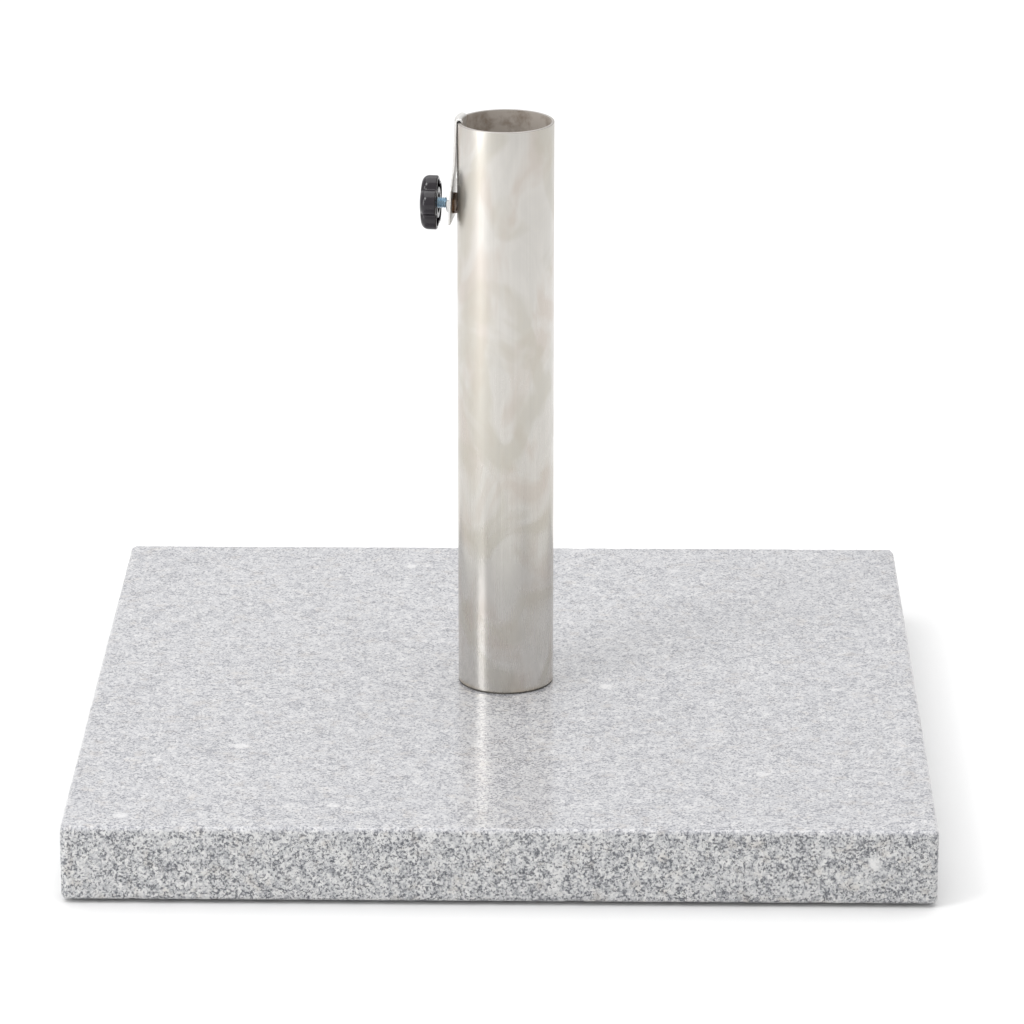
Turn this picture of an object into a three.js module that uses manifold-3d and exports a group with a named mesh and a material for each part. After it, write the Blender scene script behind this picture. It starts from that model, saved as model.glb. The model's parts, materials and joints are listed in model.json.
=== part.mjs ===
// Granite parasol base: a square stone slab, a stainless pole tube bolted to it from below,
// and a hand screw in a clip that hooks over the tube's rim.
// Millimetres, +Z up. Origin on the floor, under the centre of the slab.

import * as THREE from 'three';
import { mergeVertices } from 'three/addons/utils/BufferGeometryUtils.js';
import { RoundedBoxGeometry } from 'three/addons/geometries/RoundedBoxGeometry.js';
import Module from 'manifold-3d';

// ---------- driving dimensions ----------

const GAP = 0.3; // running and seating clearance between pieces

const slab = { side: 450, thickness: 40, edgeRadius: 2 };
const foot = { radius: 16, thickness: 2, inset: 45, bevel: 0.5 };
const tube = { radius: 26, wall: 1.5, height: 315, rimChamfer: 0.3 };
const gasket = { thickness: 0.8, lip: 0.5 };
const basePlate = { thickness: 6, landRadius: 11.5 };
const bolt = { radius: 6, length: 52, tipChamfer: 1, headFlats: 18, headHeight: 7.5, holeRadius: 7 };
const baseNut = { flats: 18, height: 9 };
const flatWasher = { radius: 18.5, thickness: 3 };
const springWasher = { radius: 10.5, thickness: 2.8, split: 1.6 };
const counterbore = { radius: 22, depth: 15.5 };

const clamp = { angle: 174, drop: 46, hole: 6.3 }; // degrees round the tube, mm below the rim
const strap = {
  thickness: 1, width: 15.5, plateWidth: 24.5, lean: 2.3, innerLeg: 12,
  shoulder: 34.8, flatFrom: 22, bottom: 55.4, shoulderRadius: 2, cornerRadius: 1,
};
const nut = { flats: 10, inner: 25.7, outer: 31.5 };
const screw = { radius: 3, chamfer: 0.5, tipRadius: 1.9, tipLength: 1.6, headRadius: 5, headHeight: 3.2 };
const cap = { radius: 4, face: 10.6, thickness: 2.5, bevel: 0.5 };
const knob = {
  back: 36.1, thickness: 8.8, dome: 0.4, crest: 15, lobes: 5, lobeRadius: 6.8, softness: 0.97,
  wall: 2, hubRadius: 8.3, recessRadius: 5.5, recessDepth: 1.6, cavityDepth: 6,
  edgeRadius: 3.5, backBevel: 0.3, turn: 103,
};

// Heights that follow from the sizes above.
const slabBottom = foot.thickness;
const slabTop = slabBottom + slab.thickness;
const tubeBottom = slabTop + gasket.thickness;
const rim = tubeBottom + tube.height;
const tubeBore = tube.radius - tube.wall;
const counterboreRoof = slabBottom + counterbore.depth;
const boltSeat = counterboreRoof - flatWasher.thickness - springWasher.thickness;

// ---------- solids ----------

const wasm = await Module();
wasm.setup();

// One closed surface: shared corners merged, collapsed triangles at poles dropped, faces outward.
function closed(geometry) {
  const bare = new THREE.BufferGeometry();
  bare.setAttribute('position', geometry.getAttribute('position'));
  bare.setIndex(geometry.getIndex());
  const merged = mergeVertices(bare, 1e-4);
  const corner = (k) => new THREE.Vector3().fromBufferAttribute(merged.attributes.position, k);
  const faces = [];
  let volume = 0;
  for (let i = 0; i < merged.index.count; i += 3) {
    const [a, b, c] = [0, 1, 2].map((k) => merged.index.getX(i + k));
    if (a === b || b === c || c === a) continue;
    volume += corner(a).dot(corner(b).cross(corner(c)));
    faces.push([a, b, c]);
  }
  merged.setIndex(faces.flatMap(([a, b, c]) => (volume > 0 ? [a, b, c] : [a, c, b])));
  return merged;
}

function solid(geometry) {
  const shell = closed(geometry);
  return new wasm.Manifold(new wasm.Mesh({
    numProp: 3,
    vertProperties: new Float32Array(shell.attributes.position.array),
    triVerts: new Uint32Array(shell.index.array),
  }));
}

function surface(body) {
  const { vertProperties, triVerts } = body.getMesh();
  const geometry = new THREE.BufferGeometry();
  geometry.setAttribute('position', new THREE.BufferAttribute(vertProperties, 3));
  geometry.setIndex(new THREE.BufferAttribute(triVerts, 1));
  return geometry;
}

const cut = (geometry, ...tools) =>
  surface(tools.reduce((body, tool) => body.subtract(solid(tool)), solid(geometry)));
const common = (geometry, tool) => surface(solid(geometry).intersect(solid(tool)));

// A turned piece: [radius, height] pairs, standing on +Z.
function turned(profile, segments) {
  const points = profile.map(([r, z]) => new THREE.Vector2(r, z));
  return closed(new THREE.LatheGeometry(points, segments).rotateX(Math.PI / 2));
}

// A turned ring: a closed rectangle of profile between two radii.
const ring = (inner, outer, low, high, segments) => turned(
  [[inner, low], [outer, low], [outer, high], [inner, high], [inner, low]], segments);

// A plain round bar, used as a cutter and for short discs.
const bar = (radius, low, high, segments) => turned(
  [[0, low], [radius, low], [radius, high], [0, high]], segments);

// A hexagon with its corners towards +-X, standing on +Z.
function hexagon(flats, low, high) {
  return bar(flats / Math.sqrt(3), low, high, 6).rotateZ(Math.PI / 6);
}

// A hexagon nut or bolt head blank with its outer corners turned off at 30 degrees.
function chamferedHexagon(flats, low, high, { bottom = true, top = true } = {}) {
  const corner = flats / Math.sqrt(3);
  const drop = (corner - flats / 2 * 0.95) * Math.tan(Math.PI / 6);
  const cone = turned([
    [0, low],
    [bottom ? flats / 2 * 0.95 : corner + 1, low],
    [corner + (bottom ? 0 : 1), low + (bottom ? drop : 0)],
    [corner + (top ? 0 : 1), high - (top ? drop : 0)],
    [top ? flats / 2 * 0.95 : corner + 1, high],
    [0, high],
  ], 48);
  return common(hexagon(flats, low, high), cone);
}

// ---------- materials ----------

const finish = (color, roughness, metalness) =>
  new THREE.MeshStandardMaterial({ color, roughness, metalness });

const granite = finish(0xbfbfc2, 0.55, 0);
const stainless = finish(0xc9c4bb, 0.32, 1);
const strapSteel = finish(0xd9d7d2, 0.35, 1);
const nutSteel = finish(0xc4c2be, 0.4, 1);
const bluedZinc = finish(0x7a90a1, 0.3, 1);
const blackPlastic = finish(0x29292c, 0.45, 0);
const nylon = finish(0xe8e6df, 0.5, 0);
const platedSteel = finish(0xb9bcc0, 0.38, 1);
const blackRubber = finish(0x1d1d1e, 0.85, 0);

function piece(name, geometry, material) {
  const mesh = new THREE.Mesh(geometry, material);
  mesh.name = name;
  return mesh;
}

// ---------- slab and feet ----------

function graniteSlab() {
  const block = new RoundedBoxGeometry(slab.side, slab.side, slab.thickness, 2, slab.edgeRadius)
    .translate(0, 0, slabBottom + slab.thickness / 2);
  const boltHole = bar(bolt.holeRadius, slabBottom - 1, slabTop + 1, 32);
  const recess = bar(counterbore.radius, slabBottom - 1, counterboreRoof, 48);
  return piece('granite_slab', cut(block, boltHole, recess), granite);
}

function feet() {
  const reach = slab.side / 2 - foot.inset;
  const pad = turned([[0, 0], [foot.radius - foot.bevel, 0], [foot.radius, foot.bevel],
    [foot.radius, foot.thickness], [0, foot.thickness]], 36);
  const corners = { front_left: [-1, -1], front_right: [1, -1], back_left: [-1, 1], back_right: [1, 1] };
  return Object.entries(corners).map(([corner, [x, y]]) => {
    const mesh = piece(`foot_${corner}`, pad, blackRubber);
    mesh.position.set(x * reach, y * reach, 0);
    return mesh;
  });
}

// ---------- tube and the bolt that holds it ----------

// Anything laid out round the clamp: +X points out of the tube along the screw, and Z is 0 at the rim.
function atClamp(geometry) {
  return geometry.rotateZ(THREE.MathUtils.degToRad(clamp.angle)).translate(0, 0, rim);
}

// A piece turned about Z becomes one turned about the screw's axis, in the clamp's own frame.
const alongScrew = (geometry) => geometry.rotateY(Math.PI / 2).translate(0, 0, -clamp.drop);

function standTube() {
  const c = tube.rimChamfer;
  const wall = turned([
    [tubeBore, tubeBottom], [tube.radius, tubeBottom],
    [tube.radius, rim - c], [tube.radius - c, rim],
    [tubeBore + c, rim], [tubeBore, rim - c], [tubeBore, tubeBottom],
  ], 96);
  const nutHole = atClamp(alongScrew(bar(clamp.hole, tube.radius - 8, tube.radius + 4, 32)));
  return piece('stand_tube', cut(wall, nutHole), stainless);
}

function tubeFixings() {
  const plateTop = tubeBottom + basePlate.thickness;
  const hole = bolt.radius + GAP;
  // The seat's flat land outside the nut is its own band, so that it is clear all the way up.
  const plate = turned([
    [hole, tubeBottom], [tubeBore - GAP, tubeBottom], [tubeBore - GAP, plateTop],
    [basePlate.landRadius, plateTop], [hole, plateTop], [hole, tubeBottom],
  ], 72);
  const nutBlank = chamferedHexagon(baseNut.flats, plateTop, plateTop + baseNut.height, { bottom: false });
  const nutBore = bar(hole, plateTop - 1, plateTop + baseNut.height + 1, 32);
  const seal = ring(bolt.holeRadius, tube.radius + gasket.lip, slabTop, tubeBottom, 72);

  const headBottom = boltSeat - bolt.headHeight;
  const head = chamferedHexagon(bolt.headFlats, headBottom, boltSeat, { top: false });
  const tip = boltSeat + bolt.length;
  const shank = turned([[0, boltSeat - 1], [bolt.radius, boltSeat - 1],
    [bolt.radius, tip - bolt.tipChamfer], [bolt.radius - bolt.tipChamfer, tip], [0, tip]], 32);
  const boltBody = surface(solid(head).add(solid(shank)));

  const coil = ring(hole, springWasher.radius, boltSeat, boltSeat + springWasher.thickness, 48);
  const slit = new THREE.BoxGeometry(springWasher.radius * 2, springWasher.split, springWasher.thickness * 3)
    .translate(springWasher.radius, 0, boltSeat);
  const washer = ring(hole, flatWasher.radius, counterboreRoof - flatWasher.thickness, counterboreRoof, 60);

  return [
    piece('tube_gasket', seal, blackRubber),
    piece('tube_base_plate', plate, platedSteel),
    piece('tube_base_nut', cut(nutBlank, nutBore), platedSteel),
    piece('fixing_bolt', boltBody, platedSteel),
    piece('fixing_spring_washer', cut(coil, slit), platedSteel),
    piece('fixing_flat_washer', washer, platedSteel),
  ];
}

// ---------- clip over the rim ----------

// The strap's middle line in its side view: up inside the tube, over the rim, down the outside.
function strapLine() {
  const inner = tubeBore - GAP - strap.thickness / 2;
  const outer = tube.radius + GAP + strap.thickness / 2;
  const lean = THREE.MathUtils.degToRad(strap.lean);
  const line = new THREE.CurvePath();
  const bend = new THREE.Path().absarc((inner + outer) / 2, 0, (outer - inner) / 2, Math.PI, lean, true);
  const start = bend.getPoint(0);
  const end = bend.getPoint(1);
  const reach = strap.bottom + end.y;
  line.add(new THREE.LineCurve(new THREE.Vector2(start.x, -strap.innerLeg), start));
  line.add(bend);
  line.add(new THREE.LineCurve(end, new THREE.Vector2(end.x + Math.tan(lean) * reach, -strap.bottom)));
  return line;
}

// Half the strap's width, at a depth below the rim on the outer leg.
function strapHalfWidth(depth) {
  const quarter = (x) => Math.sqrt(Math.max(0, 1 - (1 - x) ** 2));
  const past = THREE.MathUtils.clamp((depth - strap.shoulder) / strap.shoulderRadius, 0, 1);
  const left = THREE.MathUtils.clamp((strap.bottom - depth) / strap.cornerRadius, 0, 1);
  const grown = strap.width / 2 + (strap.plateWidth - strap.width) / 2 * quarter(past);
  return grown - strap.cornerRadius * (1 - quarter(left));
}

function clipStrap() {
  const line = strapLine();
  const legLength = line.curves[0].getLength();
  const bendLength = line.curves[1].getLength();
  const total = line.getLength();
  // Stations along the line: close together where it bends or changes width.
  const spread = (from, to, count) => Array.from({ length: count }, (_, i) => from + (to - from) * (i / count));
  const below = (depth) => total - (strap.bottom - depth) / Math.cos(THREE.MathUtils.degToRad(strap.lean));
  const stations = [
    ...spread(0, legLength, 2),
    ...spread(legLength, legLength + bendLength, 10),
    ...spread(legLength + bendLength, below(strap.flatFrom), 3),
    ...spread(below(strap.flatFrom), below(strap.shoulder), 5),
    ...spread(below(strap.shoulder), below(strap.shoulder + strap.shoulderRadius), 5),
    ...spread(below(strap.shoulder + strap.shoulderRadius), below(strap.bottom - strap.cornerRadius), 3),
    ...spread(below(strap.bottom - strap.cornerRadius), total, 3),
    total,
  ];

  const across = 10;
  const sheet = new THREE.BoxGeometry(1, 1, 1, 1, across, stations.length - 1);
  const spot = sheet.attributes.position;
  for (let i = 0; i < spot.count; i += 1) {
    const station = stations[Math.round((spot.getZ(i) + 0.5) * (stations.length - 1))];
    const middle = line.getPointAt(station / total);
    const heading = line.getTangentAt(station / total);
    const onOuterLeg = station > legLength + bendLength;
    const depth = onOuterLeg ? -middle.y : 0;
    const offset = spot.getX(i) * strap.thickness;
    const radius = middle.x - heading.y * offset;
    const side = spot.getY(i) * 2 * strapHalfWidth(depth);
    // The strip is rolled to the tube's curve near the rim and flattens out towards the plate.
    const rolled = 1 - THREE.MathUtils.smoothstep(depth, strap.flatFrom, strap.shoulder);
    const sag = radius - Math.sqrt(radius ** 2 - Math.min(Math.abs(side), radius / 2) ** 2);
    spot.setXYZ(i, radius - rolled * sag, side, middle.y + heading.x * offset);
  }
  const nutWindow = alongScrew(hexagon(nut.flats + 2 * GAP, nut.inner, nut.outer));
  return piece('clip_strap', cut(sheet, nutWindow), strapSteel);
}

function clampNut() {
  const blank = chamferedHexagon(nut.flats, nut.inner, nut.outer);
  const bore = bar(screw.radius + GAP, nut.inner - 1, nut.outer + 1, 32);
  return piece('clamp_nut', alongScrew(cut(blank, bore)), nutSteel);
}

// ---------- hand screw ----------

// Distances along the screw are measured out from the tube's axis.
const capBack = cap.face + cap.thickness;
const pocketFloor = knob.back + knob.recessDepth + 1;
const pocketRoof = pocketFloor + screw.headHeight + 2 * GAP;

function pressureCap() {
  const socket = screw.tipRadius + GAP;
  return piece('pressure_cap', alongScrew(turned([
    [0, cap.face], [cap.radius - cap.bevel, cap.face], [cap.radius, cap.face + cap.bevel],
    [cap.radius, capBack], [socket, capBack],
    [socket, capBack - screw.tipLength], [0, capBack - screw.tipLength],
  ], 36)), nylon);
}

function screwStud() {
  const shoulder = capBack + GAP;
  const tip = capBack - screw.tipLength + GAP;
  const head = pocketFloor + GAP;
  return piece('screw_stud', alongScrew(turned([
    [0, tip], [screw.tipRadius, tip], [screw.tipRadius, shoulder], [screw.radius - screw.chamfer, shoulder],
    [screw.radius, shoulder + screw.chamfer], [screw.radius, head], [screw.headRadius, head],
    [screw.headRadius, head + screw.headHeight], [0, head + screw.headHeight],
  ], 32)), bluedZinc);
}

// The grip's outline: round lobes whose meeting creases are softened.
function gripRadius(angle) {
  const centre = knob.crest - knob.lobeRadius;
  const off = Math.acos(knob.softness * Math.cos(knob.lobes * angle)) / knob.lobes;
  return centre * Math.cos(off) + Math.sqrt(knob.lobeRadius ** 2 - (centre * Math.sin(off)) ** 2);
}

function knobShell() {
  const front = knob.back + knob.thickness;
  const r = knob.edgeRadius;
  const inside = knob.crest - knob.wall;
  const cavityRoof = knob.back + knob.cavityDepth;
  const bore = screw.radius + GAP;
  const pocket = screw.headRadius + GAP;
  const roundedEdge = [0, 1, 2, 3, 4].map((step) => {
    const a = step / 4 * Math.PI / 2;
    return [knob.crest - r + r * Math.sin(a), front - r + r * Math.cos(a)];
  });
  const grip = turned([
    [0, front + knob.dome], [knob.hubRadius, front + knob.dome * 0.6], ...roundedEdge,
    [knob.crest, knob.back + knob.backBevel], [knob.crest - knob.backBevel, knob.back], [inside, knob.back],
    [inside, cavityRoof], [knob.hubRadius, cavityRoof], [knob.hubRadius, knob.back],
    [knob.recessRadius, knob.back], [knob.recessRadius, knob.back + knob.recessDepth],
    [bore, knob.back + knob.recessDepth], [bore, pocketFloor], [pocket, pocketFloor],
    [pocket, pocketRoof], [0, pocketRoof],
  ], 72);
  // Beyond the hub, each ring of the turned blank is drawn in to the lobed outline.
  const spot = grip.attributes.position;
  for (let i = 0; i < spot.count; i += 1) {
    const radius = Math.hypot(spot.getX(i), spot.getY(i));
    const share = THREE.MathUtils.clamp((radius - knob.hubRadius) / (inside - knob.hubRadius), 0, 1);
    const angle = Math.atan2(spot.getY(i), spot.getX(i));
    const scale = 1 + share * (gripRadius(angle) / knob.crest - 1);
    spot.setXY(i, spot.getX(i) * scale, spot.getY(i) * scale);
  }
  // At rest one lobe points a little above level, towards the front.
  return piece('knob_shell', alongScrew(grip.rotateZ(THREE.MathUtils.degToRad(knob.turn))), blackPlastic);
}

// ---------- assembly ----------

const clampGroup = new THREE.Group();
clampGroup.add(clipStrap(), clampNut(), pressureCap(), screwStud(), knobShell());
clampGroup.position.z = rim;
clampGroup.rotation.z = THREE.MathUtils.degToRad(clamp.angle);

const parasolBase = new THREE.Group();
parasolBase.add(graniteSlab(), ...feet(), standTube(), ...tubeFixings(), clampGroup);

export default parasolBase;
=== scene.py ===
import json
import math

import bpy
import numpy as np
from mathutils import Matrix, Vector


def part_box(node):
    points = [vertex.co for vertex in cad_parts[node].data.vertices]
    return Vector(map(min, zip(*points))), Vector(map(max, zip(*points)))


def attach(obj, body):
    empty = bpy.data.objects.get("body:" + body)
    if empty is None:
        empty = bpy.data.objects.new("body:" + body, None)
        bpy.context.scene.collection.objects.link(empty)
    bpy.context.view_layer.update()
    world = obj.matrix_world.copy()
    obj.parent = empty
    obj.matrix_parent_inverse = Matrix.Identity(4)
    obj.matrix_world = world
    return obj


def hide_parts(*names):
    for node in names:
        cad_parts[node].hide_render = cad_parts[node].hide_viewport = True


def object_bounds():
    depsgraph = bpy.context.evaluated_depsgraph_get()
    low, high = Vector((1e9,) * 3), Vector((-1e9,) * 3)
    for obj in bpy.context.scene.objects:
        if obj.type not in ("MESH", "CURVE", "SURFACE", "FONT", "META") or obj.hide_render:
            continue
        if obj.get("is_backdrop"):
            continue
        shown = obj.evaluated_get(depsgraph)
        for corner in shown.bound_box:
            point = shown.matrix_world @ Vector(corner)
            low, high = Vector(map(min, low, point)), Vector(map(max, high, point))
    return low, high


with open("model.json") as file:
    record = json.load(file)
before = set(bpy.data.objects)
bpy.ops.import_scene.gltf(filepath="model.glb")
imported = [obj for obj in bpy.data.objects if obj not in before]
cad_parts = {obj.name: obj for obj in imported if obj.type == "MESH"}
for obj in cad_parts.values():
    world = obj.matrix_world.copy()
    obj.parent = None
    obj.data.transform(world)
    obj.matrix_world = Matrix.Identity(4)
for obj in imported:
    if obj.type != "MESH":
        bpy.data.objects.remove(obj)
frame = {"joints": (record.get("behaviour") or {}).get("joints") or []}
cad_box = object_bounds()

# %% [markdown]
# # A granite parasol base
#
# The object is a square granite slab with a stainless tube bolted to its middle. A strap hooks over the
# tube's rim and carries a nut, and a star-knob screw runs through the nut to grip a parasol's pole.
#
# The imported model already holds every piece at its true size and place, as plain faceted solids.
# This lesson builds a finer piece over each of those solids and gives it a finish of its own.
# Nothing here is placed by eye: sizes are read from the frame, or stated once where a piece is made.

# %% Read the driving sizes from the frame
mm = 0.001

slab_low, slab_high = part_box("granite_slab")
tube_low, tube_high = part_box("stand_tube")
plate_low, plate_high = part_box("tube_base_plate")

slab_top = slab_high.z
rim = tube_high.z
tube_radius = tube_high.x
tube_bore = tube_radius - 1.5 * mm
slab_edge = 2.4 * mm
bolt_hole = 7 * mm

turn_joint = next(j for j in frame["joints"] if j["name"] == "knob_turn")
outward = -Vector(turn_joint["axis"])
screw_height = turn_joint["pos_m"][2]
clamp_angle = math.atan2(outward.y, outward.x)
print(f"slab {slab_high.x * 2:.3f} m square, rim at {rim:.4f} m, screw at {screw_height:.4f} m")
print(f"the clamp stands {math.degrees(clamp_angle):.1f} degrees round the tube")

# %% [markdown]
# ## Where the clamp's pieces stand
#
# The strap, nut and hand screw are easiest to draw round two lines of their own.
# In the clamp's frame, X points out of the tube along the screw and Z is 0 at the rim.
# A piece turned round Z can be laid along the screw by one quarter turn about Y.
# Each matrix is used on the mesh itself, so every object stays at the origin.

# %% Two placing matrices
clamp_frame = Matrix.Translation((0, 0, rim)) @ Matrix.Rotation(clamp_angle, 4, "Z")
along_screw = (
    clamp_frame
    @ Matrix.Translation((0, 0, screw_height - rim))
    @ Matrix.Rotation(math.pi / 2, 4, "Y")
)
print("a point 10 mm out along the screw is at", (along_screw @ Vector((0, 0, 0.01))).to_tuple(4))

# %% [markdown]
# ## A few shop tools for meshes
#
# Most pieces are turned, so the main tool is a lathe: it spins an outline round Z. A loft makes the
# rest, and stitches a surface from rows of points. A lathe in code is better here than the Screw
# modifier, because the outline can close on itself and both poles come out clean.


# %% Meshes from rows of points
def new_piece(name, points, faces):
    mesh = bpy.data.meshes.new(name)
    mesh.from_pydata([tuple(p) for p in points], [], faces)
    mesh.validate()
    piece = bpy.data.objects.new(name, mesh)
    bpy.context.scene.collection.objects.link(piece)
    return piece


def circle_row(radius, z, angles):
    return [(radius * math.cos(a), radius * math.sin(a), z) for a in angles]


def full_turn(count):
    return [2 * math.pi * k / count for k in range(count)]


def face_out(piece):
    """Turns the whole surface round if its faces enclose a negative volume."""
    mesh = piece.data
    mesh.calc_loop_triangles()
    spots = np.array([v.co for v in mesh.vertices])
    a, b, c = (spots[[t.vertices[k] for t in mesh.loop_triangles]] for k in range(3))
    volume = float(np.einsum("ij,ij->i", a, np.cross(b, c)).sum()) / 6
    if volume < 0:
        mesh.flip_normals()


def loft(name, rows, close_rows=False):
    """Stitches equal rows of points into quads. Each row is a closed loop, and its ends are capped."""
    count, around = len(rows), len(rows[0])
    faces = []
    for i in range(count if close_rows else count - 1):
        below, above = i * around, (i + 1) % count * around
        for j in range(around):
            k = (j + 1) % around
            faces.append((below + j, below + k, above + k, above + j))
    if not close_rows:
        faces.append(tuple(reversed(range(around))))
        faces.append(tuple(range((count - 1) * around, count * around)))
    piece = new_piece(name, [p for row in rows for p in row], faces)
    face_out(piece)
    return piece


def turned(name, outline, segments):
    """Spins (radius, height) points round Z. The outline closes, or has both its ends on the axis."""
    on_axis = outline[0][0] == 0
    rings = outline[1:-1] if on_axis else outline
    points = [p for r, z in rings for p in circle_row(r, z, full_turn(segments))]
    faces = []
    for i in range(len(rings) - 1 if on_axis else len(rings)):
        low, high = i * segments, (i + 1) % len(rings) * segments
        for j in range(segments):
            k = (j + 1) % segments
            faces.append((low + j, low + k, high + k, high + j))
    if on_axis:
        for (_, z), ring, turn in ((outline[0], 0, 1), (outline[-1], len(rings) - 1, -1)):
            pole = len(points)
            points.append((0, 0, z))
            for j in range(segments):
                pair = (ring * segments + j, ring * segments + (j + 1) % segments)
                faces.append((pole, *pair[::-turn]))
    piece = new_piece(name, points, faces)
    face_out(piece)
    return piece


def arc(centre, radius, start, end, steps):
    """Points on an arc in the outline's plane, in degrees, both ends included."""
    angles = [math.radians(start + (end - start) * i / steps) for i in range(steps + 1)]
    return [(centre[0] + radius * math.cos(a), centre[1] + radius * math.sin(a)) for a in angles]


print("lathe and loft are ready")


# %% [markdown]
# ## Cutting and finishing
#
# A hole is made by a solid of its own, which a Boolean modifier takes out of the piece. The result is
# kept as a plain mesh and the modifier goes, because the frame's calls want a finished piece.
# Each piece then passes through one function, which shades it and hands it to the frame.


# %% Cutting and finishing
def keep_result(piece, modifier):
    """Makes what the modifier shows the piece's own mesh, and takes the modifier off."""
    graph = bpy.context.evaluated_depsgraph_get()
    result = bpy.data.meshes.new_from_object(piece.evaluated_get(graph))
    piece.modifiers.remove(modifier)
    piece.data = result


def cut_out(piece, tool):
    """Takes the tool's shape out of the piece, and removes the tool."""
    modifier = piece.modifiers.new("cut", "BOOLEAN")
    modifier.operation = "DIFFERENCE"
    modifier.solver = "EXACT"
    modifier.object = tool
    keep_result(piece, modifier)
    bpy.data.objects.remove(tool)


def place(piece, matrix):
    piece.data.transform(matrix)
    return piece


def paint(piece, finish):
    """Gives the piece one finish, in place of whatever a cut may have left in its slots."""
    piece.data.materials.clear()
    piece.data.materials.append(finish)


def finish_piece(piece, body, slot, *nodes, sharp=35):
    """Shades it smooth but for edges over an angle, and hands it to the frame."""
    mesh = piece.data
    mesh.name = piece.name
    mesh.shade_smooth()
    mesh.set_sharp_from_angle(angle=math.radians(sharp))
    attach(piece, body)
    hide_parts(*nodes)
    triangles = sum(len(p.vertices) - 2 for p in mesh.polygons)
    print(f"{piece.name}: {triangles} triangles, rides on {body}")


print("the cutting and finishing tools are ready")


# %% [markdown]
# ## Node trees written as arithmetic
#
# A material or a Geometry Nodes tree is a formula, and it reads best as one.
# `Value` wraps an output socket, so `1 - mask` or `a * b` adds the Math nodes it stands for.
# `Bench` makes every other kind of node with one method: settings are set first, then the inputs,
# each given as a number, a colour or another Value.


# %% The socket wrapper and the node bench
class Value:
    """One output socket. Arithmetic on it adds Math nodes to its tree."""

    def __init__(self, socket):
        self.socket = socket

    def made(self, operation, *operands):
        node = self.socket.id_data.nodes.new("ShaderNodeMath")
        node.operation = operation
        for socket, operand in zip(node.inputs, operands):
            plug(socket, operand)
        return Value(node.outputs[0])

    def math(self, operation, *others):
        """Any Math node with this value first: wave.math("SINE") or y.math("ARCTAN2", x)."""
        return self.made(operation, self, *others)

    def __add__(self, other):
        return self.made("ADD", self, other)

    def __radd__(self, other):
        return self.made("ADD", other, self)

    def __sub__(self, other):
        return self.made("SUBTRACT", self, other)

    def __rsub__(self, other):
        return self.made("SUBTRACT", other, self)

    def __mul__(self, other):
        return self.made("MULTIPLY", self, other)

    def __rmul__(self, other):
        return self.made("MULTIPLY", other, self)

    def __truediv__(self, other):
        return self.made("DIVIDE", self, other)

    def __pow__(self, other):
        return self.made("POWER", self, other)

    def at_least(self, other):
        return self.math("MAXIMUM", other)

    def clipped(self):
        return self.at_least(0).math("MINIMUM", 1)

    def step(self, start, end):
        """0 before start and 1 past end, rising evenly between them."""
        return ((self - start) / (end - start)).clipped()


def plug(socket, value):
    if isinstance(value, Value):
        socket.id_data.links.new(value.socket, socket)
    else:
        socket.default_value = value


class Bench:
    """A node tree being built."""

    def __init__(self, tree):
        self.tree = tree

    def node(self, kind, settings=None, inputs=None, output=0):
        """Adds a node, and gives back one of its outputs as a Value."""
        node = self.tree.nodes.new(kind)
        for name, value in (settings or {}).items():
            if name == "stops":
                set_stops(node.color_ramp, value)
            else:
                setattr(node, name, value)
        for name, value in (inputs or {}).items():
            plug(node.inputs[name], value)
        return Value(node.outputs[output]) if node.outputs else node

    def parts(self, vector):
        """A vector's X, Y and Z, each as a Value."""
        node = self.tree.nodes.new("ShaderNodeSeparateXYZ")
        plug(node.inputs[0], vector)
        return [Value(socket) for socket in node.outputs]

    def vector(self, x, y, z):
        return self.node("ShaderNodeCombineXYZ", inputs={0: x, 1: y, 2: z})

    def scaled(self, vector, factors):
        settings = {"operation": "MULTIPLY"}
        return self.node("ShaderNodeVectorMath", settings, {0: vector, 1: factors})

    def summed(self, vector, other):
        return self.node("ShaderNodeVectorMath", {"operation": "ADD"}, {0: vector, 1: other})


def set_stops(ramp, stops):
    """Gives a colour ramp its (position, colour) stops."""
    while len(ramp.elements) < len(stops):
        ramp.elements.new(0.5)
    for element, (position, colour) in zip(ramp.elements, stops):
        element.position = position
        element.color = colour


print("node bench is ready")


# %% [markdown]
# ## Materials are benches too
#
# A finish adds the few things that only a shader needs: the piece's own coordinates, noise and
# cell patterns, colour mixing, and one Principled BSDF at the end. Patterns read Object coordinates,
# which are metres in the part's frame, so a 2 mm grain is 2 mm on every piece.


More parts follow.
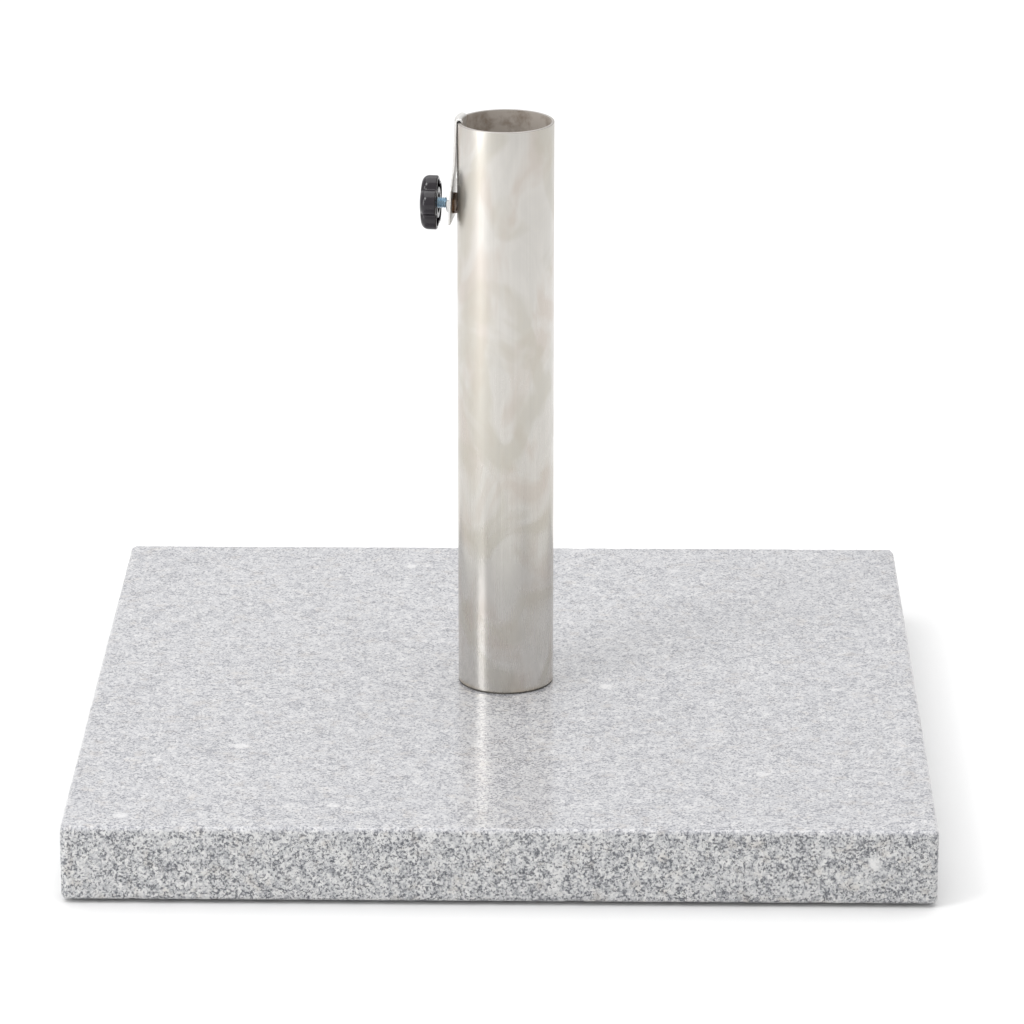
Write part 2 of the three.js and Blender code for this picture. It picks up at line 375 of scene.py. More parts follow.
# %% The material bench
class Finish(Bench):
    def __init__(self, name):
        self.material = bpy.data.materials.new(name)
        self.material.use_nodes = True
        super().__init__(self.material.node_tree)
        self.tree.nodes.clear()
        self.place = self.node("ShaderNodeTexCoord", output="Object")

    def noise(self, scale, detail=3, roughness=0.5, at=None, distortion=0):
        values = {"Vector": at or self.place, "Scale": scale, "Detail": detail}
        values |= {"Roughness": roughness, "Distortion": distortion}
        return self.node("ShaderNodeTexNoise", None, values)

    def cells(self, scale, at, output="Color"):
        return self.node("ShaderNodeTexVoronoi", None, {"Vector": at, "Scale": scale}, output)

    def ramp(self, factor, stops):
        """A colour for each stretch of a value. A stop's colour is red, green, blue."""
        full = [(position, (*colour, 1)) for position, colour in stops]
        return self.node("ShaderNodeValToRGB", {"stops": full}, {"Fac": factor})

    def mix(self, factor, first, second, blend="MIX"):
        """First at 0, second at 1. A colour is a Value or (red, green, blue)."""
        wide = [c if isinstance(c, Value) else (*c, 1) for c in (first, second)]
        settings = {"data_type": "RGBA", "blend_type": blend}
        return self.node("ShaderNodeMix", settings, {0: factor, 6: wide[0], 7: wide[1]}, 2)

    def bump(self, height, distance, strength):
        """A height in 0 to 1 that stands for a real depth in metres."""
        values = {"Height": height, "Distance": distance, "Strength": strength}
        return self.node("ShaderNodeBump", None, values)

    def surface(self, colour, roughness, metallic=0.0, normal=None, **constants):
        """The one Principled BSDF, with plain numbers for what is even all over."""
        values = {"Base Color": colour, "Roughness": roughness, "Metallic": metallic}
        if normal:
            values["Normal"] = normal
        values |= {name.replace("_", " "): value for name, value in constants.items()}
        shader = self.node("ShaderNodeBsdfPrincipled", None, values)
        self.node("ShaderNodeOutputMaterial", None, {"Surface": shader})
        print("finish:", self.material.name, "with", len(self.tree.nodes), "nodes")
        return self.material


print("material bench is ready")


# %% [markdown]
# ## Geometry Nodes recipes
#
# What repeats or follows a rule is grown by a node tree: threads, the star grip's lobes,
# chips along the slab's edges and weld ripples. A recipe has named inputs. To use one,
# a modifier is added, its inputs are set by socket identifier, and the result is
# taken as a plain mesh, so that nothing stays live on the finished piece.


# %% Building a recipe and growing a piece from it
class Recipe(Bench):
    """A Geometry Nodes tree with named inputs, each {name: default}."""

    def __init__(self, name, **defaults):
        tree = bpy.data.node_groups.new(name, "GeometryNodeTree")
        super().__init__(tree)
        tree.interface.new_socket("Geometry", in_out="OUTPUT", socket_type="NodeSocketGeometry")
        tree.interface.new_socket("Geometry", in_out="INPUT", socket_type="NodeSocketGeometry")
        for label, default in {**defaults, "Finish": None}.items():
            kind = {int: "Int", float: "Float"}.get(type(default), "Material")
            socket = tree.interface.new_socket(
                label.replace("_", " "), in_out="INPUT", socket_type=f"NodeSocket{kind}"
            )
            if default is not None:
                socket.default_value = default
        self.inputs = tree.nodes.new("NodeGroupInput")
        self.geometry = Value(self.inputs.outputs["Geometry"])

    def given(self, label):
        return Value(self.inputs.outputs[label.replace("_", " ")])

    def position(self):
        return self.node("GeometryNodeInputPosition")

    def pattern(self, scale, detail):
        """Noise over the piece. Another seed gives another draw of it."""
        values = {"Vector": self.position(), "W": self.given("Seed"), "Scale": scale, "Detail": detail}
        return self.node("ShaderNodeTexNoise", {"noise_dimensions": "4D"}, values)

    def moved(self, geometry, position=None, offset=None):
        """Set Position, to a place or by an offset."""
        values = {"Geometry": geometry}
        if position:
            values["Position"] = position
        if offset:
            values["Offset"] = offset
        return self.node("GeometryNodeSetPosition", None, values)

    def close(self, geometry):
        """Every recipe ends in real geometry with its finish on."""
        real = self.node("GeometryNodeRealizeInstances", None, {"Geometry": geometry})
        painted = {"Geometry": real, "Material": self.given("Finish")}
        done = self.node("GeometryNodeSetMaterial", None, painted)
        self.node("NodeGroupOutput", None, {"Geometry": done})
        print("recipe:", self.tree.name, "with", len(self.tree.nodes), "nodes")

    def grow(self, piece, finish, **values):
        """Runs the recipe on a piece, and leaves it a plain mesh."""
        modifier = piece.modifiers.new("recipe", "NODES")
        modifier.node_group = self.tree
        sockets = {s.name: s.identifier for s in self.tree.interface.items_tree if s.in_out == "INPUT"}
        for label, value in {**values, "Finish": finish}.items():
            modifier[sockets[label.replace("_", " ")]] = value
        keep_result(piece, modifier)
        face_out(piece)


def seed_piece(name):
    """An empty piece, for recipes that make their own geometry."""
    return new_piece(name, [], [])


print("recipe class is ready")

# %% [markdown]
# ## Granite
#
# Granite is a packing of crystals: white feldspar, grey quartz and small black flakes of mica.
# Each is a cell pattern at its own size, and a little noise bends the cell walls.
# The top is polished and the sides are only sawn, so one mask made from height sets the gloss, and on the
# top it also paints a reflection veil into the colour.


# %% The granite finish
def granite_finish():
    f = Finish("granite")
    # Three noises push each point about by up to a millimetre, so no crystal keeps a straight wall.
    push = f.summed(f.vector(f.noise(900), f.noise(830), f.noise(970)), (-0.5, -0.5, -0.5))
    spot = f.summed(f.place, f.scaled(push, (2 * mm, 2 * mm, 2 * mm)))

    small, _, _ = f.parts(f.cells(1000, spot))
    large, tone_of_large, _ = f.parts(f.cells(330, spot))
    dust = f.noise(1500, detail=3, roughness=0.75)
    cloud = f.noise(75, detail=3, roughness=0.6)
    _, _, height = f.parts(f.place)
    polish_and_painted_veil = height.step(slab_top - slab_edge, slab_top - 0.7 * mm)
    # Painted reflection: on the polished top the grain's contrast is lowered, standing in for the light
    # its gloss reflects over the stone.
    painted_veil_contrast = 1 - polish_and_painted_veil * 0.26

    tone = 0.5 + (small * 0.42 + tone_of_large * 0.26 + dust * 0.32 - 0.5) * painted_veil_contrast
    ground = f.ramp(
        tone,
        [
            (0.22, (0.185, 0.190, 0.205)),
            (0.36, (0.355, 0.360, 0.372)),
            (0.50, (0.520, 0.522, 0.530)),
            (0.74, (0.645, 0.640, 0.630)),
        ],
    )
    feldspar = large.step(0.84, 0.88) * f.noise(260, detail=2).step(0.42, 0.54)
    pale = f.mix(feldspar * 0.6, ground, (0.70, 0.695, 0.685))
    beige = f.noise(130, detail=3, roughness=0.6).step(0.56, 0.68) * 0.30
    warm = f.mix(beige, pale, (0.47, 0.42, 0.36))
    flake = f.noise(780, detail=3, roughness=0.72) + (cloud - 0.5) * 0.20
    mica = flake.step(0.525, 0.585)
    flecked = f.mix(mica * painted_veil_contrast * 0.86, warm, (0.070, 0.074, 0.088))

    # Here and there a feldspar grew to a few millimetres across and pushed the mica aside.
    sparse = 36
    pick, _, _ = f.parts(f.cells(sparse, spot))
    middle = f.cells(sparse, spot, output="Distance")
    ragged = (f.noise(190, detail=3) - 0.5) * 0.16
    crystal = ((pick - 0.50) * 0.36 + ragged - middle).step(0, 0.06)
    stone = f.mix(crystal * 0.64, flecked, (0.74, 0.735, 0.725))
    # Painted shade and reflection: the polished top is darkened a little and tinted lavender.
    colour = f.mix(polish_and_painted_veil * 0.12, stone, (0.12, 0.11, 0.20))

    roughness = 0.56 + dust * 0.16 - polish_and_painted_veil * 0.46
    relief = f.bump(dust * (1 - polish_and_painted_veil * 0.98), 0.35 * mm, 0.8)
    return f.surface(colour, roughness, 0.0, relief, Coat_Weight=polish_and_painted_veil * 0.55, Coat_Roughness=0.10)


granite = granite_finish()

# %% [markdown]
# ## Metals
#
# Worked steel carries fine marks in one direction, from the belt that finished it. Stretching a
# noise gives them: a small scale along the marks and a large one across. Handling and rain leave
# broad stains that run down the metal, some pinkish and some olive, and they dull the gloss a little.


# %% The plain steel finish
def steel_finish(name, colour, roughness, stain=0.3, marks=(700, 700, 700)):
    """A worked metal. Marks is how many lines fit in a metre along X, Y and Z."""
    f = Finish(name)

    def shade(*factors):
        return tuple(c * k for c, k in zip(colour, factors))

    brushed = f.noise(1.0, detail=3, roughness=0.7, at=f.scaled(f.place, marks))
    smear = f.noise(1.0, detail=3, roughness=0.5, at=f.scaled(f.place, (40, 40, 22)), distortion=0.8)
    patch = f.noise(25, detail=3, roughness=0.42, distortion=1.2)
    rosy = f.mix(smear.step(0.50, 0.62) * stain * 0.7, colour, shade(0.80, 0.69, 0.62))
    olive = f.mix(patch.step(0.48, 0.58) * stain, rosy, shade(0.82, 0.80, 0.73))
    dull = f.mix((1 - smear).step(0.52, 0.60) * stain * 0.5, olive, shade(0.84, 0.85, 0.85))
    lined = f.mix(brushed.step(0.35, 0.75) * 0.20, dull, shade(0.74, 0.74, 0.74))
    gloss = roughness + (brushed - 0.5) * 0.14 + (patch - 0.5) * stain * 0.3
    return f, lined, gloss, f.bump(brushed, 0.012 * mm, 0.6)


def plain_steel(*numbers, **others):
    f, colour, gloss, relief = steel_finish(*numbers, **others)
    return f.surface(colour, gloss, 1.0, relief)


strap_steel = plain_steel("stainless_strap", (0.76, 0.75, 0.73), 0.44, stain=0.15)
plated = plain_steel("plated_steel", (0.56, 0.57, 0.58), 0.34, stain=0.25)

# %% [markdown]
# The tube needs three things more. Its marks run up and down. Inside it is the dull,
# brownish skin that the mill left. Its cut ends are plain: rough at the rim, and straw-coloured
# at the foot, where the heat of the inside weld reached the outside.


# %% The tube's finish
def tube_finish():
    f, colour, gloss, relief = steel_finish(
        "stainless_tube", (0.655, 0.632, 0.596), 0.27, stain=0.55, marks=(850, 850, 9)
    )
    x, y, z = f.parts(f.place)
    inside = 1 - ((x * x + y * y) ** 0.5).step(tube_radius - 1.2 * mm, tube_radius - 1.0 * mm)
    rust = f.noise(75, detail=4, roughness=0.65)
    skin = f.mix(rust.step(0.45, 0.68), (0.50, 0.455, 0.41), (0.25, 0.195, 0.15))
    # Painted shade: the colour is darkened in a band from 80 to 250 mm up, standing in for the darker
    # stone that the tube reflects there.
    painted_shade_band = z.step(80 * mm, 125 * mm) * (1 - z.step(150 * mm, 250 * mm))
    shade_darkened = f.mix(painted_shade_band, colour, (0.86, 0.86, 0.85), "MULTIPLY")
    lined = f.mix(inside, shade_darkened, skin)
    straw = (1 - z.step(tube_low.z, tube_low.z + 2.6 * mm)) * f.noise(60, detail=3).step(0.35, 0.60)
    tinted = f.mix(straw * 0.6, lined, (0.47, 0.36, 0.22))
    cut_end = z.step(rim - 0.5 * mm, rim - 0.2 * mm)
    worn = f.mix(cut_end * 0.9, tinted, (0.40, 0.38, 0.36))
    # Poles and hands have matted the upper part.
    matted = z.step(150 * mm, 330 * mm)
    roughness = gloss + inside * 0.32 + cut_end * 0.2 + matted * 0.08
    return f.surface(worn, roughness, 1 - inside * 0.62, relief)


stainless = tube_finish()

# %% [markdown]
# ## A nut that has been welded, and a blue-plated thread
#
# The nut's inner half took the heat of welding and shows straw, brown and dark oxide.
# The tint depends only on the distance out along the screw, so the shader projects the
# point on the screw's direction. The stud is zinc with a blue passivation.


# %% The nut and stud finishes
def distance_along_screw(finish):
    x, y, _ = finish.parts(finish.place)
    return x * outward.x + y * outward.y


def nut_finish():
    f = Finish("nut_steel")
    along = distance_along_screw(f) + (f.noise(420, detail=3) - 0.5) * 1.4 * mm
    tint = f.ramp(
        along.step(26 * mm, 31 * mm),
        [
            (0.00, (0.34, 0.29, 0.25)),
            (0.30, (0.115, 0.060, 0.032)),
            (0.50, (0.26, 0.16, 0.095)),
            (0.62, (0.66, 0.63, 0.60)),
            (0.74, (0.80, 0.79, 0.77)),
        ],
    )
    speck = f.noise(1500, detail=3, roughness=0.7)
    scorched = 1 - along.step(28 * mm, 29.5 * mm)
    colour = f.mix(speck.step(0.50, 0.66) * scorched * 0.6, tint, (0.05, 0.032, 0.022))
    roughness = 0.32 + scorched * 0.18 + speck * 0.1
    return f.surface(colour, roughness, 1.0, f.bump(speck, 0.03 * mm, 0.7))


def zinc_finish():
    f = Finish("blued_zinc")
    film = f.noise(330, detail=3, roughness=0.6)
    colour = f.ramp(
        film,
        [
            (0.30, (0.330, 0.480, 0.610)),
            (0.52, (0.500, 0.640, 0.740)),
            (0.72, (0.740, 0.810, 0.850)),
        ],
    )
    scratch = f.noise(2400, detail=2)
    return f.surface(colour, 0.24 + scratch * 0.14, 1.0, f.bump(scratch, 0.01 * mm, 0.5))


nut_steel = nut_finish()
blued_zinc = zinc_finish()


# %% [markdown]
# ## Plastics and rubber
#
# Moulded plastic has a fine, even grain and a few rubbed places. Rubber is duller, dustier and
# coarser. One builder covers them all, because only the numbers differ.


# %% The moulded finishes
def moulded_finish(name, colour, worn, roughness, grain, depth):
    """Grain is how many marks fit in a metre, and depth is their height."""
    f = Finish(name)
    leather = f.noise(grain, detail=2, roughness=0.5)
    rubbed = f.noise(55, detail=4, roughness=0.6).step(0.50, 0.74)
    dust = f.noise(2100, detail=2).step(0.60, 0.70)
    tone = f.mix(rubbed * 0.5 + dust * 0.18, colour, worn)
    gloss = roughness + (leather - 0.5) * 0.14 - rubbed * 0.08
    return f.surface(tone, gloss, 0.0, f.bump(leather, depth, 0.5))


black_plastic = moulded_finish(
    "black_plastic", (0.010, 0.0070, 0.0105), (0.054, 0.044, 0.058), 0.17, 2600, 0.03 * mm
)
white_nylon = moulded_finish(
    "white_nylon", (0.76, 0.74, 0.69), (0.66, 0.63, 0.57), 0.42, 1800, 0.02 * mm
)
black_rubber = moulded_finish(
    "black_rubber", (0.022, 0.022, 0.022), (0.075, 0.072, 0.068), 0.72, 1300, 0.08 * mm
)
dusty_rubber = moulded_finish(
    "dusty_rubber", (0.085, 0.078, 0.070), (0.200, 0.175, 0.140), 0.66, 1300, 0.05 * mm
)

# %% [markdown]
# ## The recipes
#
# `chipped_arris` knocks small chips off the slab's edges, where stone really breaks: only where two
# faces meet, and only in the places that noise picks. It pushes points straight in, so flats stay flat.

# %% Recipe: chipped arris
chipped = Recipe(
    "chipped_arris", Half_Side=0.225, Low=0.002, High=0.042, Reach=0.003, Depth=0.0016, Seed=3.0
)


def build_chips(r):
    x, y, z = r.parts(r.position())
    half, reach = r.given("Half_Side"), r.given("Reach")

    def nearness(distance):
        return 1 - distance.step(0, reach)

    near_x = nearness(half - x.math("ABSOLUTE"))
    near_y = nearness(half - y.math("ABSOLUTE"))
    near_top = nearness(r.given("High") - z)
    near_bottom = nearness(z - r.given("Low"))
    wall = near_x.at_least(near_y)
    flat = near_top.at_least(near_bottom)
    on_arris = (wall * flat).at_least(near_x * near_y)

    chips = r.pattern(150.0, 2.0).step(0.53, 0.76)
    nibbles = r.pattern(520.0, 3.0).step(0.42, 0.80)
    amount = (chips + nibbles * 0.30) * on_arris * r.given("Depth")
    inward = r.vector(
        0 - x.math("SIGN") * near_x * amount,
        0 - y.math("SIGN") * near_y * amount,
        (near_bottom - near_top) * amount,
    )
    r.close(r.moved(r.geometry, offset=inward))


build_chips(chipped)

# %% [markdown]
# `screw_thread` turns a smooth rod into a screw. Going once round, or one pitch up, brings the groove
# back to the same place, so one fraction of a turn says how deep it is at any point.
# The depth fades at both ends, as a real thread runs out.

# %% Recipe: screw thread
thread = Recipe("screw_thread", Pitch=0.001, Depth=0.0006, Start=0.0, End=0.02, Fade=0.0008, Rod=0.003)


def build_thread(r):
    x, y, z = r.parts(r.position())
    pitch = r.given("Pitch")
    turn = y.math("ARCTAN2", x) / (2 * math.pi)
    phase = (z / pitch - turn).math("FRACT")
    flank = (phase - 0.5).math("ABSOLUTE") * 2
    profile = 1 - flank.step(0.10, 0.88)
    radius = (x * x + y * y) ** 0.5
    on_rod = radius.step(r.given("Rod") * 0.96, r.given("Rod") * 0.99) * (
        1 - radius.step(r.given("Rod") * 1.01, r.given("Rod") * 1.02)
    )
    fade = r.given("Fade")
    rising = z.step(r.given("Start"), r.given("Start") + fade)
    falling = 1 - z.step(r.given("End") - fade, r.given("End"))
    depth = profile * rising * falling * on_rod * r.given("Depth")
    keep = 1 - depth / radius.at_least(0.0001)
    r.close(r.moved(r.geometry, position=r.vector(x * keep, y * keep, z)))


build_thread(thread)

# %% [markdown]
# `star_grip` draws a turned blank in to a lobed outline. Each lobe is part of a circle, and the
# softened arc cosine rounds the creases where two lobes would meet. Rings inside the hub are
# left round.

# %% Recipe: star grip
star = Recipe(
    "star_grip", Lobes=5, Crest=0.015, Lobe_Radius=0.0068, Softness=0.97, Hub=0.0083, Inside=0.013
)


def build_star(r):
    x, y, z = r.parts(r.position())
    lobes, crest, lobe = r.given("Lobes"), r.given("Crest"), r.given("Lobe_Radius")
    turn = y.math("ARCTAN2", x)
    wave = r.given("Softness") * (turn * lobes).math("COSINE")
    off = wave.math("ARCCOSINE") / lobes
    centre = crest - lobe
    across = centre * off.math("SINE")
    outline = centre * off.math("COSINE") + (lobe * lobe - across * across) ** 0.5
    radius = (x * x + y * y) ** 0.5
    share = radius.step(r.given("Hub"), r.given("Inside"))
    scale = 1 + share * (outline / crest - 1)
    r.close(r.moved(r.geometry, position=r.vector(x * scale, y * scale, z)))


build_star(star)

# %% [markdown]
# `weld_bead` lays a weld round a circle. It sweeps a small round section along the circle and swells it
# at even steps, since a welder's hand moves in ripples. Sweeping a curve is what
# Geometry Nodes does best, and the ripple count stays an input.

# %% Recipe: weld bead
weld = Recipe(
    "weld_bead", Radius=0.024, Height=0.049, Thickness=0.001, Ripples=70, Ripple_Depth=0.22, Seed=5.0
)


def build_weld(r):
    def circle(points, radius):
        values = {"Resolution": points, "Radius": r.given(radius)}
        return r.node("GeometryNodeCurvePrimitiveCircle", None, values)

    swept = {"Curve": circle(560, "Radius"), "Profile Curve": circle(10, "Thickness")}
    bead = r.node("GeometryNodeCurveToMesh", None, swept)
    x, y, z = r.parts(r.position())
    turn = y.math("ARCTAN2", x)
    drift = r.pattern(160.0, 2.0)
    beat = (turn * r.given("Ripples") + drift * 9).math("SINE")
    swell = 1 - r.given("Ripple_Depth") * beat.math("ABSOLUTE")
    size = swell * (0.82 + drift * 0.36)
    radius = (x * x + y * y) ** 0.5
    ring = r.given("Radius")
    spread = (ring + (radius - ring) * size) / radius
    r.close(r.moved(bead, position=r.vector(x * spread, y * spread, r.given("Height") + z * size)))


build_weld(weld)

# %% [markdown]
# ## The slab
#
# The slab is a square block with a stepped hole up its middle, so its surface is a ring in section:
# across the top, down the side, in underneath, up the counterbore and the bolt hole.
# Lofting that ring of rows gives even quads with the points packed where the edges are,
# which a cube with a bevel would not. The chips are then grown on it.

# %% Granite slab
SIDE_POINTS, CORNER_POINTS = 280, 8


def rounded_square(half, corner, z):
    """A square ring of points with rounded corners, always in the same order."""
    points = []
    for quarter in range(4):
        turn = quarter * math.pi / 2
        local = [(half, -(half - corner) * (1 - 2 * k / SIDE_POINTS)) for k in range(1, SIDE_POINTS)]
        for k in range(CORNER_POINTS + 1):
            a = math.pi / 2 * k / CORNER_POINTS
            local.append((half - corner + corner * math.cos(a), half - corner + corner * math.sin(a)))
        c, s = math.cos(turn), math.sin(turn)
        points += [(x * c - y * s, x * s + y * c, z) for x, y in local]
    return points


def round_ring(radius, z):
    """The square ring's points sent straight in to a circle."""
    return circle_row(radius, z, [math.atan2(y, x) for x, y, _ in rounded_square(1, 0.1, 0)])


def between(ring, other, share):
    return [tuple(p + (q - p) * share for p, q in zip(a, b)) for a, b in zip(ring, other)]


def slab_rows():
    """From the bolt hole out across the top, and round to the bolt hole again."""
    low, high, half = slab_low.z, slab_high.z, slab_high.x
    flat, least_corner = half - slab_edge, 1.6 * mm
    recess, recess_roof, ease = 22 * mm, 17.5 * mm, 0.6 * mm

    def arris(turn, z, direction):
        """A ring on the rounded edge, from 0 degrees on the flat to 90 on the side."""
        swing = math.radians(turn)
        out = slab_edge * math.sin(swing)
        return rounded_square(flat + out, least_corner + out, z + direction * slab_edge * math.cos(swing))

    top_inner = round_ring(bolt_hole + ease, high)
    top_outer = rounded_square(flat, least_corner, high)
    bottom_inner = round_ring(recess + ease, low)
    bottom_outer = rounded_square(flat, least_corner, low)
    # Both lists crowd towards the edges, where the chips need points to move.
    shares_out = [0, 0.09, 0.25, 0.5, 0.75, 0.9, 0.96, 0.98, 0.99, 0.995]
    drops = [0.5, 1, 1.6, 2.4, 3.6, 6, 10, 15, 21, 26, 30, 32.4, 33.6, 34.4, 35, 35.5]
    corner, side_top = least_corner + slab_edge, high - slab_edge

    rows = [round_ring(bolt_hole, high - ease)]
    rows += [between(top_inner, top_outer, share) for share in shares_out]
    rows += [arris(turn, side_top, 1) for turn in range(0, 91, 15)]
    rows += [rounded_square(half, corner, side_top - drop * mm) for drop in drops]
    rows += [arris(turn, low + slab_edge, -1) for turn in range(90, -1, -15)]
    rows += [between(bottom_inner, bottom_outer, share) for share in reversed(shares_out)]
    rows += [round_ring(recess, low + ease), round_ring(recess, recess_roof)]
    rows += [round_ring(bolt_hole, recess_roof)]
    return rows


slab = loft("stone_slab", slab_rows(), close_rows=True)
chipped.grow(
    slab, granite, Half_Side=slab_high.x, Low=slab_low.z, High=slab_high.z, Depth=1.5 * mm, Seed=11.0
)
finish_piece(slab, "base", "granite", "granite_slab", sharp=50)

# %% [markdown]
# ## Feet
#
# Four rubber pads keep the stone off the ground. Each is moulded, with a shallow middle and two
# ring grooves that help it grip. A cylinder would lose those, so one outline is turned for
# every corner.

# %% Feet
pad_outline = [(0, 0.3), (4, 0.3), (4.6, 0), (8.4, 0), (8.8, 0.7), (9.6, 0.7), (10, 0), (12.4, 0)]
pad_outline += [(12.8, 0.7), (13.4, 0.7), (13.8, 0), (15.2, 0), (15.75, 0.15), (16, 0.6)]
pad_outline += [(16, 1.7), (15.8, 2), (0, 2)]

for corner in ("front_left", "front_right", "back_left", "back_right"):
    low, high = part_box(f"foot_{corner}")
    pad = turned(f"rubber_foot_{corner}", [(r * mm, z * mm) for r, z in pad_outline], 72)
    place(pad, Matrix.Translation(((low.x + high.x) / 2, (low.y + high.y) / 2, low.z)))
    paint(pad, black_rubber)
    finish_piece(pad, "base", "black_rubber", f"foot_{corner}", sharp=50)

# %% [markdown]
# ## Gasket
#
# A thin rubber ring lies under the tube. The bolt squeezes it, so its outer edge bulges. A bevel
# could round that edge, but an arc in the turned outline gives the same curve with no modifier.

# %% Gasket under the tube
gasket_low, gasket_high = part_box("tube_gasket")
bulge = (gasket_high.z - gasket_low.z) / 2
gasket_radius = tube_radius - 0.1 * mm
gasket_outline = [(bolt_hole, gasket_low.z)]
gasket_outline += arc((gasket_radius - bulge, gasket_low.z + bulge), bulge, -90, 90, 8)
gasket_outline += [(bolt_hole, gasket_high.z)]
gasket = turned("rubber_gasket", gasket_outline, 160)
paint(gasket, dusty_rubber)
finish_piece(gasket, "base", "black_rubber", "tube_gasket")

# %% [markdown]
# ## The tube
#
# The tube is one turned ring with its rim rounded over on the outside and eased inside.
# The nut's inner end stands in a hole in its wall. A hole across a curved wall is the
# one shape here that lathe and loft can't make, so a short rod is cut out of it.

# %% Stand tube
rim_round, bore_ease, foot_ease = 0.55 * mm, 0.25 * mm, 0.3 * mm
tube_outline = [(tube_bore, tube_low.z), (tube_radius - foot_ease, tube_low.z)]
tube_outline += [(tube_radius, tube_low.z + foot_ease)]
tube_outline += [(tube_radius, tube_low.z + up * mm) for up in (40, 90, 140, 190, 240, 262, 278, 300)]
tube_outline += arc((tube_radius - rim_round, rim - rim_round), rim_round, 0, 90, 8)
tube_outline += [(tube_bore + bore_ease, rim), (tube_bore, rim - bore_ease)]
tube_outline += [(tube_bore, tube_low.z + up * mm) for up in (278, 262, 200, 120, 50, 6)]
tube = turned("steel_tube", tube_outline, 256)

side_hole, drill_start, drill_end = 6.3 * mm, 18 * mm, 30 * mm
drill_outline = [(0, drill_start), (side_hole, drill_start), (side_hole, drill_end), (0, drill_end)]
cut_out(tube, place(turned("drill", drill_outline, 64), along_screw))
paint(tube, stainless)
finish_piece(tube, "base", "stainless_tube", "stand_tube", sharp=30)

# %% [markdown]
# ## What holds the tube down
#
# A plate closes the tube's foot, welded in all round. An M12 bolt comes up through the stone, with
# a flat and a spring washer under its head, and a nut inside the tube draws everything together.
# Hexagons are lofted from rings of points, because a ring can round the corners and
# take the chamfer in the same step.


# %% Hexagon rings
def hexagon_ring(flats, ease, along):
    """A hexagon's outline with rounded corners, the first of them towards +X."""
    out = (flats / 2 - ease) / math.cos(math.pi / 6)
    corners = []
    for degrees in range(0, 360, 60):
        turn = math.radians(degrees)
        centre = (out * math.cos(turn), out * math.sin(turn))
        corners.append(arc(centre, ease, degrees - 30, degrees + 30, 4))
    points = []
    for corner, following in zip(corners, corners[1:] + corners[:1]):
        (x, y), (next_x, next_y) = corner[-1], following[0]
        points += corner
        points += [(x + (next_x - x) * i / along, y + (next_y - y) * i / along) for i in range(1, along)]
    return points


def hexagon_rows(flats, low, high, bottom=True, top=True):
    """Rows of a nut or bolt head. Bottom and top say which ends have their corners turned off."""
    ring = hexagon_ring(flats, 0.25 * mm, 10)
    corner = flats / math.sqrt(3)
    face_radius = flats / 2 * 0.95
    slope = math.tan(math.pi / 6)
    drop = (corner - face_radius) * slope

    def row(z):
        from_low = z - low if bottom else corner
        from_high = high - z if top else corner
        limit = face_radius + min(from_low, from_high) / slope
        shrink = [min(1, limit / math.hypot(x, y)) for x, y in ring]
        return [(x * s, y * s, z) for (x, y), s in zip(ring, shrink)]

    steps = 10
    rise = [low + drop * i / steps for i in range(steps + 1)] if bottom else [low]
    fall = [high - drop * i / steps for i in range(steps, -1, -1)] if top else [high]
    return [row(z) for z in [*rise, *fall]]


def row_angles(row):
    return [math.atan2(y, x) for x, y, _ in row]


def nut_piece(name, flats, low, high, bore, countersink, **chamfers):
    """A bored nut: its hexagon rows, then its bore's rows back down, closed on themselves."""
    outside = hexagon_rows(flats, low, high, **chamfers)
    wide, angles = bore + countersink, row_angles(outside[0])
    bore_rows = [(wide, high), (bore, high - countersink), (bore, low + countersink), (wide, low)]
    inside = [circle_row(radius, z, angles) for radius, z in bore_rows]
    return loft(name, outside + inside, close_rows=True)


print("a hexagon ring has", len(hexagon_ring(10 * mm, 0.25 * mm, 10)), "points")

# %% [markdown]
# ## Base plate and its weld
#
# The plate is a thick disc with a hole for the bolt and with its edges broken, so it is turned like
# the tube. Its weld runs round the inside of the tube. A plain fillet would do for the shape,
# but the ripples show that it was laid by hand, so the weld recipe grows it.

# %% Base plate and its weld
bolt_bore = 6.3 * mm


def flat_ring(outer, low, high, inner_ease, low_ease, high_ease):
    """The outline of a plate or washer on the bolt, with its edges broken."""
    outline = [(bolt_bore, low + inner_ease), (bolt_bore + inner_ease, low)]
    outline += [(outer - low_ease, low), (outer, low + low_ease)]
    outline += [(outer, high - high_ease), (outer - high_ease, high)]
    outline += [(bolt_bore + inner_ease, high), (bolt_bore, high - inner_ease)]
    return outline


plate_ring = flat_ring(plate_high.x, plate_low.z, plate_high.z, 0.4 * mm, 0.5 * mm, 0.6 * mm)
plate = turned("base_plate", plate_ring, 160)
paint(plate, plated)
finish_piece(plate, "base", "plated_steel", "tube_base_plate")

foot_weld = seed_piece("base_weld")
weld.grow(
    foot_weld, plated, Radius=tube_bore - 0.15 * mm, Height=plate_high.z, Thickness=1.0 * mm, Ripples=76
)
finish_piece(foot_weld, "base", "plated_steel")

# %% [markdown]
# ## Nut and washers
#
# The nut is welded to the plate, so only its top is chamfered. The flat washer is wide, to spread
# the bolt's pull over the stone, and it is turned. The spring washer is a square bar bent to a
# ring with a slit. Turning it would close the slit, so it is lofted from one side of the slit
# round to the other.

# %% Base nut and washers
m12_flats = 18 * mm

nut_low, nut_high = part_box("tube_base_nut")
base_nut = nut_piece("base_nut", m12_flats, nut_low.z, nut_high.z, bolt_bore, 0.6 * mm, bottom=False)
paint(base_nut, plated)
finish_piece(base_nut, "base", "plated_steel", "tube_base_nut")

washer_low, washer_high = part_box("fixing_flat_washer")
washer_ring = flat_ring(washer_high.x, washer_low.z, washer_high.z, 0.4 * mm, 0.4 * mm, 0.4 * mm)
washer = turned("flat_washer", washer_ring, 120)
paint(washer, plated)
finish_piece(washer, "base", "plated_steel", "fixing_flat_washer")


